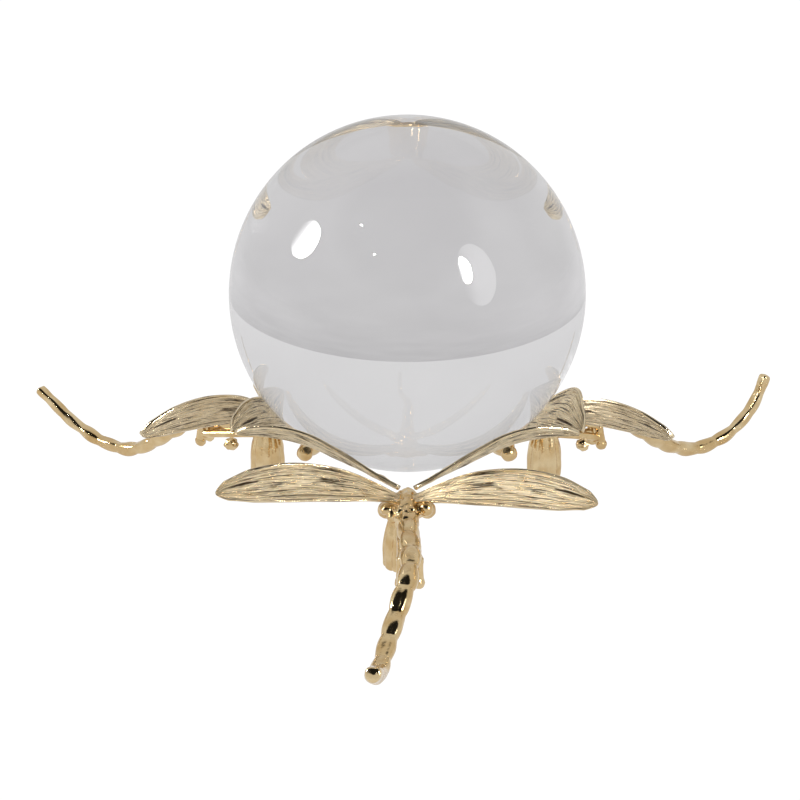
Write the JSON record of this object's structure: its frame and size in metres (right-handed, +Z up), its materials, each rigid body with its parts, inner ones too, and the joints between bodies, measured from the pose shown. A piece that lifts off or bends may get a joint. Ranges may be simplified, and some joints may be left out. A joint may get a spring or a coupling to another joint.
{
  "type": "crystal ball on a dragonfly stand",
  "caption": "Clear glass crystal ball resting in a cradle of gold-toned cast metal dragonflies, which stand tails outwards with fluted posts under them.",
  "frame": {"origin": "on the ball's vertical axis, at the level of the table under the tails", "axes": "+Z up; -Y towards the front dragonfly's tail; +X to the right seen from the front"},
  "size_m": [0.2588, 0.22, 0.1314],
  "materials": {
    "glass": "clear polished solid glass",
    "gold": "polished pale champagne gold plating, brushed with fine veins on the wings",
    "solder": "pale gold plated solder"
  },
  "bodies": {
    "stand": {"front_body": "gold", "front_left_forewing": "gold", "front_right_forewing": "gold", "front_left_hindwing": "gold", "front_right_hindwing": "gold", "front_post": "gold", "front_legs": "gold", "back_right_body": "gold", "back_right_left_forewing": "gold", "back_right_right_forewing": "gold", "back_right_left_hindwing": "gold", "back_right_right_hindwing": "gold", "back_right_post": "gold", "back_right_legs": "gold", "back_left_body": "gold", "back_left_left_forewing": "gold", "back_left_right_forewing": "gold", "back_left_left_hindwing": "gold", "back_left_right_hindwing": "gold", "back_left_post": "gold", "back_left_legs": "gold", "left_solder_bead": "solder", "right_solder_bead": "solder", "back_solder_bead": "solder"},
    "glass_ball": {"ball": "glass"}
  },
  "joints": [
    {"name": "ball_lift", "type": "slide", "parent": "stand", "child": "glass_ball", "axis": [0, 0, 1], "range_m": [0, 0.12]}
  ]
}
